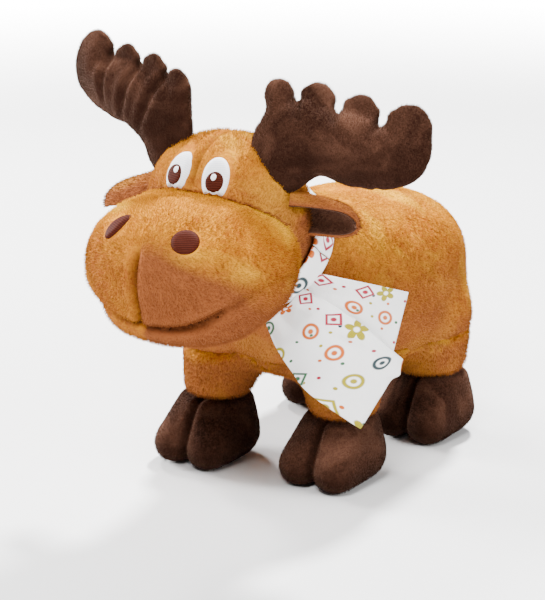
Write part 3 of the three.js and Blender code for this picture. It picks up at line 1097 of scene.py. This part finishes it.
def thread_material(name, base, shadow):
    material, tree, shader = new_material(name, roughness=0.6)
    place = node(tree, "ShaderNodeUVMap", uv_map="stitches").outputs["UV"]
    strands = yarns(tree, place, "Y", thread_pitch, distortion=1.2, detail_scale=2.0)
    wear = noise(tree, place, thread_wear, detail=3.0, distortion=0.5)
    worn = spread(tree, wear, low=0.2, high=0.8, to_low=0.5)
    height = math_node(tree, "MULTIPLY", strands, worn)
    feed(tree, shader, {"Base Color": mixed(tree, height, shadow, base), "Specular IOR Level": 0.03})
    add_relief(tree, shader, height, thread_relief)
    return material


white_thread = thread_material("white_satin_thread", colour(254, 254, 255), colour(232, 234, 242))
brown_thread = thread_material("brown_satin_thread", colour(76, 37, 28), colour(54, 25, 18))
print("threads:", white_thread.name, brown_thread.name)


# %% One embroidered patch
patch_wall = 0.0015
patch_corners = 40
patch_rings = 8
ring_step = 0.115
start_above = 0.006
flat_top = 6
rolled_edge = 8


def stitched_patch(name, surface, spot, outward, half, rise, sink, material, slot, tilt=0.0):
    """half is the oval's two half sizes, rise its height in the middle and sink its depth at the edge"""
    outward = outward.normalized()
    up = (Vector((0, 0, 1)) - outward * outward.z).normalized()
    up.rotate(Quaternion(outward, tilt))
    side = up.cross(outward)
    build = bmesh.new()
    bmesh.ops.create_circle(build, cap_ends=True, segments=patch_corners, radius=1)
    for ring in range(patch_rings):
        middle = [face for face in build.faces if len(face.verts) > 4]
        bmesh.ops.inset_region(build, faces=middle, thickness=ring_step, use_boundary=True)
    middle = [face for face in build.faces if len(face.verts) > 4]
    bmesh.ops.poke(build, faces=middle)
    stitches = build.loops.layers.uv.new("stitches")
    for face in build.faces:
        for loop in face.loops:
            loop[stitches].uv = (loop.vert.co.x * half[0], loop.vert.co.y * half[1])
    for point in build.verts:
        reach = min(1.0, point.co.length)
        raised = spot + side * (point.co.x * half[0]) + up * (point.co.y * half[1]) + outward * start_above
        hit = surface.ray_cast(raised, -outward)[0] or surface.find_nearest(raised)[0]
        dome = rise * (1 - reach ** flat_top) ** 0.5 - sink * reach ** rolled_edge
        point.co = hit + outward * dome
    rim = [edge for edge in build.edges if edge.is_boundary]
    wall = bmesh.ops.extrude_edge_only(build, edges=rim)["geom"]
    under = [part for part in wall if isinstance(part, bmesh.types.BMVert)]
    bmesh.ops.translate(build, verts=under, vec=outward * -patch_wall)
    bmesh.ops.holes_fill(build, edges=[edge for edge in build.edges if edge.is_boundary], sides=0)
    bmesh.ops.recalc_face_normals(build, faces=build.faces)
    patch = new_piece(name + "_stitches", build)
    shade_smooth(patch.data)
    return dress(patch, material, slot, "head", name)


# %% Eyes
crown_surface = over_skin(crown)
pupil_spots = {
    "left": Vector((0.0111, -0.0992, 0.1924)),
    "right": Vector((-0.0147, -0.0989, 0.1929)),
}
glint_spots = {
    "left": Vector((0.0104, -0.0986, 0.1945)),
    "right": Vector((-0.0135, -0.0982, 0.1952)),
}
eye_tilt = {"left": -0.03, "right": 0.10}
for side in ("left", "right"):
    surface = crown_surface
    for part, spots, half, rise, sink, thread, slot in (
        ("eye_white", eye_spots, (0.0080, 0.0126), 0.0020, 0.0008, white_thread, "white_thread"),
        ("pupil", pupil_spots, (0.0054, 0.0058), 0.0006, 0.0003, brown_thread, "brown_thread"),
        ("eye_glint", glint_spots, (0.0016, 0.0019), 0.0005, 0.0002, white_thread, "white_thread"),
    ):
        patch = stitched_patch(
            f"{part}_{side}", surface, spots[side], spots[side] - crown_middle, half, rise, sink,
            thread, slot, eye_tilt[side])
        surface = over_skin(patch)
print("eyes stitched")


# %% Nostrils
muzzle_surface = over_skin(muzzle)
nostril_middle = Vector((-0.0013, -0.1032, 0.148))
nostril_half = {"left": (0.0080, 0.0074), "right": (0.0047, 0.0090)}
for side, spot in nostril_spots.items():
    stitched_patch(
        f"nostril_{side}", muzzle_surface, spot, spot - nostril_middle, nostril_half[side],
        rise=0.0018, sink=0.0008, material=brown_thread, slot="brown_thread")
print("nostrils stitched")


# %% [markdown]
# ## Ears
# An ear is a leaf folded lengthwise into a cup: pile fabric outside, dark velour inside. Bending both layers
# by hand would leave gaps, so a flat grid is bent into the cup by one rule for both. The lining is the same
# leaf, a little smaller and deeper in the cup.

# %% Ear leaves
ear_out = {"left": Vector((0.84, 0.53, -0.14)), "right": Vector((-0.97, 0.04, -0.29))}
ear_open = {"left": Vector((0.45, -0.66, -0.60)), "right": Vector((-0.2, 0.1, -1))}
ear_length = {"left": 0.038, "right": 0.047}
ear_root_depth = 0.0085
root_radius = 0.0128
tip_radius = 0.0112
root_fold = math.radians(112)
tip_fold = math.radians(84)
ear_flatness = 0.8
lining_inset = 0.0014
ear_droop = 0.003
ear_hang = 0.0015
rounding_start = 0.62
rounding_power = 2.4
thinnest = 0.0003


def ear_leaf(name, side, inset, thickness):
    """A leaf whose edges roll together at the root and open toward the rounded tip"""
    root = Vector(joints[f"ear_{side}_flap"]["pos_m"])
    out = ear_out[side].normalized()
    opening = (ear_open[side] - out * ear_open[side].dot(out)).normalized()
    across = out.cross(opening)
    build = bmesh.new()
    bmesh.ops.create_grid(build, x_segments=34, y_segments=26, size=0.5)
    for point in build.verts:
        along = point.co.x + 0.5
        past = max((along - rounding_start) / (1 - rounding_start), 0)
        rounding = max(1 - past ** rounding_power, 0) ** 0.5
        radius = (root_radius + (tip_radius - root_radius) * along) * rounding
        radius = max(radius - inset, thinnest)
        fold = root_fold + (tip_fold - root_fold) * along
        swing = point.co.y * 2 * fold
        place = root + out * (along * (ear_length[side] - inset) - ear_root_depth)
        place += across * (radius * math.sin(swing)) - opening * (radius * ear_flatness * math.cos(swing))
        point.co = place - Vector((0, 0, ear_hang + ear_droop * along ** 2))
    bmesh.ops.remove_doubles(build, verts=build.verts, dist=1e-5)
    bmesh.ops.recalc_face_normals(build, faces=build.faces)
    piece = new_piece(name, build)
    modify(piece, "SOLIDIFY", thickness=thickness, offset=0)
    finished(piece)
    shade_smooth(piece.data)
    from_root = points_of(piece) - np.array(root)
    from_axis = from_root - (from_root @ np.array(out))[:, None] * np.array(out)
    inner = (normals_of(piece) * from_axis).sum(1) < 0
    return piece, inner


# %% Ears and linings
for index, side in enumerate(("left", "right")):
    body = f"ear_{side}"
    leaf, inner = ear_leaf(f"ear_{side}_skin", side, inset=0.0, thickness=0.0018)
    dress(leaf, golden_plush, "plush", body, f"ear_{side}")
    in_cup = inner.astype(float)
    # The ear's pile is darker all over
    grow_hairs(
        leaf, golden_pile, body, steady(ear_out[side]), seed=60 + index, bare=lambda places: in_cup,
        darkening=0.8)
    lining, _ = ear_leaf(f"ear_lining_{side}_skin", side, inset=lining_inset, thickness=0.0010)
    dress(lining, brown_velour, "lining", body, f"ear_lining_{side}")


# %% [markdown]
# ## Tail
# The tail is a short stuffed stub. Its solid is already round, so a finer remesh and a few rounds of
# smoothing are enough, and its pile hangs down.

# %% Tail
tail = skin("tail_skin", "tail", voxel=0.0015, rounds=8)
dress(tail, golden_plush, "plush", "tail", "tail")
grow_hairs(tail, golden_pile, "tail", steady((0, 0.4, -0.9)), seed=70)


# %% [markdown]
# ## Scarf
# The scarf is one strip of thin printed cotton. It goes once round the neck, and its two ends lie over each
# other on the left shoulder. A simulation would have to tie it first, so it is laid along given edges, in
# three
# sheets: the band and the two ends. Each end is a flat grid between two edges, with folds that fade away
# from the neck. Its points keep clear of the pile by a nearest-point search on the body's skin, and those of
# the upper end keep clear of the lower one. The print is drawn on each sheet's own flat map, so it follows
# the folds.

# %% Print on the cotton
def part_of_colour(tree, value, stops):
    """A ramp of flat colours, one for each random value"""
    ramp = node(tree, "ShaderNodeValToRGB", {"Fac": value})
    ramp.color_ramp.interpolation = "CONSTANT"
    points = ramp.color_ramp.elements
    for index, stop in enumerate(stops):
        point = points[index] if index < 2 else points.new(0.99)
        point.position = index / len(stops)
        point.color = (*stop, 1)
    return ramp.outputs["Color"]


def motif_cells(tree, place, size, scatter):
    """Where a point is from its cell's middle, its distance, and three random values for the cell"""
    inputs = {"Vector": place, "Scale": 1 / size, "Randomness": scatter}
    cell = node(tree, "ShaderNodeTexVoronoi", inputs, voronoi_dimensions="2D", feature="F1").outputs
    here = scaled_vector(tree, place, 1 / size)
    middle = scaled_vector(tree, cell["Position"], 1 / size)
    away = vector_node(tree, "SUBTRACT", here, middle)
    x, y, _ = node(tree, "ShaderNodeSeparateXYZ", [away]).outputs
    squares = [math_node(tree, "MULTIPLY", side, side) for side in (x, y)]
    reach = math_node(tree, "SQRT", math_node(tree, "ADD", *squares))
    return x, y, reach, node(tree, "ShaderNodeSeparateColor", [cell["Color"]]).outputs


def inside(tree, value, limit, soft=0.02):
    return spread(tree, value, limit - soft, limit + soft, to_low=1.0, to_high=0.0)


def line_at(tree, value, middle):
    """A line of even width where the value comes near the middle"""
    away = math_node(tree, "ABSOLUTE", math_node(tree, "SUBTRACT", value, middle))
    return inside(tree, away, line_half)


# %% The print's motifs
motif_size = 0.022
dot_size = 0.0105
line_half = 0.045
ring_radius = 0.2
diamond_radius = 0.24
heart_radius = 0.075
dot_radius = 0.1
petal_count = 5
petal_length = 0.17
petal_base = 0.13
blossom_share = 0.5
diamond_share = 0.78
dot_share = 0.6


def cotton_print():
    """Five-petal blossoms, rings, diamonds and small dots in five colours on white"""
    group = bpy.data.node_groups.new("cotton_print", "ShaderNodeTree")
    group.interface.new_socket("Cloth", in_out="INPUT", socket_type="NodeSocketVector")
    group.interface.new_socket("Colour", in_out="OUTPUT", socket_type="NodeSocketColor")
    place = node(group, "NodeGroupInput").outputs["Cloth"]
    inks = [
        colour(190, 88, 8), colour(52, 96, 64), colour(152, 140, 10), colour(152, 14, 46), colour(36, 54, 58),
    ]
    paper = (0.95, 0.94, 0.93)

    def maths(operation, *values):
        return math_node(group, operation, *values)

    side_way, long_way, reach, (kind, ink, turn) = motif_cells(group, place, motif_size, scatter=0.45)
    swing = maths("MULTIPLY_ADD", turn, 2 * math.pi, maths("ARCTAN2", long_way, side_way))
    petals = maths("ABSOLUTE", maths("COSINE", maths("MULTIPLY", swing, petal_count / 2)))
    edge = maths("MULTIPLY_ADD", petals, petal_length, petal_base)
    blossom = inside(group, maths("DIVIDE", reach, edge), limit=1.0, soft=0.08)
    heart = inside(group, reach, heart_radius)
    ring = line_at(group, reach, ring_radius)
    corners = maths("ADD", maths("ABSOLUTE", side_way), maths("ABSOLUTE", long_way))
    diamond = line_at(group, corners, diamond_radius)
    is_blossom = inside(group, kind, blossom_share, soft=0.001)
    is_diamond = maths("GREATER_THAN", kind, diamond_share)
    is_ring = maths("SUBTRACT", maths("SUBTRACT", 1.0, is_blossom), is_diamond)
    open_heart = maths("SUBTRACT", 1.0, heart)
    shape = maths("MULTIPLY", maths("MULTIPLY", blossom, open_heart), is_blossom)
    shape = maths("MULTIPLY_ADD", maths("MAXIMUM", ring, heart), is_ring, shape)
    shape = maths("MULTIPLY_ADD", maths("MAXIMUM", diamond, heart), is_diamond, shape)
    printed = mixed(group, shape, paper, part_of_colour(group, ink, inks))

    _, _, reach, (kind, ink, _) = motif_cells(group, place, dot_size, scatter=0.9)
    dot = maths("MULTIPLY", inside(group, reach, dot_radius), maths("GREATER_THAN", kind, dot_share))
    dot = maths("MULTIPLY", dot, maths("SUBTRACT", 1.0, shape))
    printed = mixed(group, dot, printed, part_of_colour(group, ink, inks))
    node(group, "NodeGroupOutput", {"Colour": printed})
    return group


# %% Cotton material
yarn_pitch = 0.00098693
weave_relief = 0.00012
crease_scale = 55
crease_height = 12


def cotton_material():
    material, tree, shader = new_material("printed_cotton", roughness=0.85)
    place = node(tree, "ShaderNodeUVMap", uv_map="cloth").outputs["UV"]
    printed = node(tree, "ShaderNodeGroup", {"Cloth": place}, node_tree=cotton_print()).outputs["Colour"]
    feed(tree, shader, {"Base Color": printed, "Sheen Weight": 0.12, "Specular IOR Level": 0.25})
    warp, weft = (yarns(tree, place, way, yarn_pitch, distortion=0.6) for way in ("X", "Y"))
    weave = math_node(tree, "ADD", warp, weft)
    creases = noise(tree, place, crease_scale, detail=3.0, distortion=0.6)
    crease = math_node(tree, "MULTIPLY_ADD", creases, crease_height, weave)
    add_relief(tree, shader, crease, weave_relief)
    return material


cotton = cotton_material()
print("cotton print:", cotton.name)


# %% Lay a strip of cloth
def smooth_path(points, share):
    """The point at a share from 0 to 1 along a smooth line through the points, each span a cubic curve"""
    spans = len(points) - 1
    span = min(int(share * spans), spans - 1)
    t = share * spans - span
    a, b, c, d = (np.array(points[min(max(span + step, 0), spans)]) for step in (-1, 0, 1, 2))
    if span == 0:
        a = 2 * b - c
    if span == spans - 1:
        d = 2 * c - b
    bend = 2 * a - 5 * b + 4 * c - d
    twist = 3 * b - a - 3 * c + d
    return 0.5 * (2 * b + (c - a) * t + bend * t * t + twist * t ** 3)


body_surface = over_skin(torso)
cloth_clearance = 0.0022
end_clearance = 0.0016
cloth_thickness = 0.0008
normal_share = 0.7
look_above = 0.015
settling_rounds = 6


def lift_needed(place, out, clearance):
    """Which way and how far the cloth has to move to lie clear of the body"""
    near, normal, _, _ = body_surface.find_nearest(place)
    away = (normal * normal_share + out * (1 - normal_share)).normalized()
    height = (place - near).dot(normal)
    return away * (max(clearance - height, 0) / away.dot(normal))


def lift_over(cloth, place, out, clearance):
    """How far a point of the upper cloth has to move to lie on top of the lower cloth"""
    hit = cloth.ray_cast(place + out * look_above, -out, 2 * look_above)[0]
    return out * max(clearance - (place - hit).dot(out), 0) if hit else Vector()


def cloth_strip(name, place_at, size, columns, rows, clearance, lower_cloth=None):
    """place_at(along, across) gives a point and its outward side; size is the flat width and length"""
    build = bmesh.new()
    bmesh.ops.create_grid(build, x_segments=columns, y_segments=rows, size=0.5)
    cloth = build.loops.layers.uv.new("cloth")
    for face in build.faces:
        for loop in face.loops:
            along, across = loop.vert.co.x + 0.5, loop.vert.co.y + 0.5
            loop[cloth].uv = (along * size[1], across * size[0])
    laid = [place_at(point.co.x + 0.5, point.co.y + 0.5) for point in build.verts]
    lift = [lift_needed(place, out, clearance) if clearance else Vector() for place, out in laid]
    if lower_cloth:
        over = [lift_over(lower_cloth, place, out, end_clearance) for place, out in laid]
        lift = [max(pair, key=lambda rise: rise.length) for pair in zip(lift, over)]
    build.verts.index_update()
    for _ in range(settling_rounds):
        around = [[edge.other_vert(point).index for edge in point.link_edges] for point in build.verts]
        mean = [sum((lift[index] for index in near), Vector()) / len(near) for near in around]
        lift = [max(own, (own + other) / 2, key=lambda rise: rise.length) for own, other in zip(lift, mean)]
    for point, (place, _), rise in zip(build.verts, laid, lift):
        point.co = place + rise
    piece = new_piece(name, build)
    modify(piece, "SMOOTH", iterations=2)
    modify(piece, "SOLIDIFY", thickness=cloth_thickness, offset=0)
    finished(piece)
    shade_smooth(piece.data)
    dress(piece, cotton, "cotton", "torso", "scarf")
    return piece


# %% Ends of the scarf
# The edges' places are in millimetres, and the shift moves the whole scarf onto the neck.
cloth_shift = np.array([-1.3346, 22.8228, 0.0]) * MM
over_upper = [(38, -77, 128), (52, -71, 120), (62, -53, 105), (68, -30, 84), (68, -18, 75)]
over_lower = [(16, -80, 104), (26, -84, 92), (33, -81, 80), (44, -78, 67), (62, -53, 42)]
under_upper = [(38, -75, 137), (60, -46, 126), (67, -12, 113)]
under_lower = [(34, -79, 112), (58, -58, 97), (66, -27, 79)]
strip_width = 0.048
under_length = 0.062
over_length = 0.090
over_gap = 0.0012
folds = 4
fold_drift = 2.2
fold_fade = 1.5
look_ahead = 0.02


def hung_between(upper, lower, depth, lift):
    """Places on a sheet between two edges. depth is that of its folds, and lift is that of its middle."""
    def place_at(along, across):
        top = smooth_path(upper, along) * MM
        low = smooth_path(lower, along) * MM
        next_spot = smooth_path(upper, min(along + look_ahead, 1))
        ahead = (next_spot - smooth_path(upper, max(along - look_ahead, 0))) * MM
        out = np.cross(low - top, ahead)
        out = out / np.linalg.norm(out)
        wave = math.sin(across * folds * math.pi + fold_drift * along) * depth * (1 - along) ** fold_fade
        belly = lift * math.sin(math.pi * across) * math.sin(math.pi * along)
        return Vector(top + (low - top) * across + out * (wave + belly) + cloth_shift), Vector(out)
    return place_at


under_end = cloth_strip(
    "scarf_under_end", hung_between(under_upper, under_lower, depth=0.0016, lift=-0.001),
    (strip_width, under_length), columns=40, rows=26, clearance=cloth_clearance)
over_end = cloth_strip(
    "scarf_over_end", hung_between(over_upper, over_lower, depth=0.0018, lift=0.0015),
    (strip_width, over_length), columns=46, rows=26, clearance=cloth_clearance + over_gap,
    lower_cloth=over_skin(under_end))
print("scarf ends hung")


# %% Band round the neck
neck_from = Vector((0, -28, 116)) * MM + Vector(cloth_shift)
neck_to = Vector((0, -72, 149)) * MM + Vector(cloth_shift)
neck_line = (neck_to - neck_from).normalized()
band_middle = Vector((0, -70, 147)) * MM + Vector(cloth_shift)
band_side = Vector((1, 0, 0))
band_up = neck_line.cross(band_side)
band_width = 0.020
band_rear_share = 0.52
band_length = 0.27
wider_than_neck = 0.065
measured_behind = 0.010
pleats = 3
pleat_depth = 0.0007
pleat_drift = 1.4


def round_neck(along, across):
    """The band keeps the neck's radius over its whole width, measured a little behind its middle"""
    turn = 2 * math.pi * along
    outward = band_side * math.cos(turn) + band_up * math.sin(turn)
    measured = band_middle - neck_line * measured_behind
    hit = body_surface.ray_cast(measured + outward * wider_than_neck, -outward)[0]
    radius = (hit - measured).dot(outward)
    pleat = pleat_depth * math.sin(across * pleats * math.pi + pleat_drift * math.sin(2 * turn))
    place = band_middle + neck_line * ((across - band_rear_share) * band_width)
    return place + outward * (radius + cloth_clearance + pleat), outward


band = cloth_strip(
    "scarf_band", round_neck, (band_width, band_length), columns=120, rows=12, clearance=0.0)
print("scarf band laid")
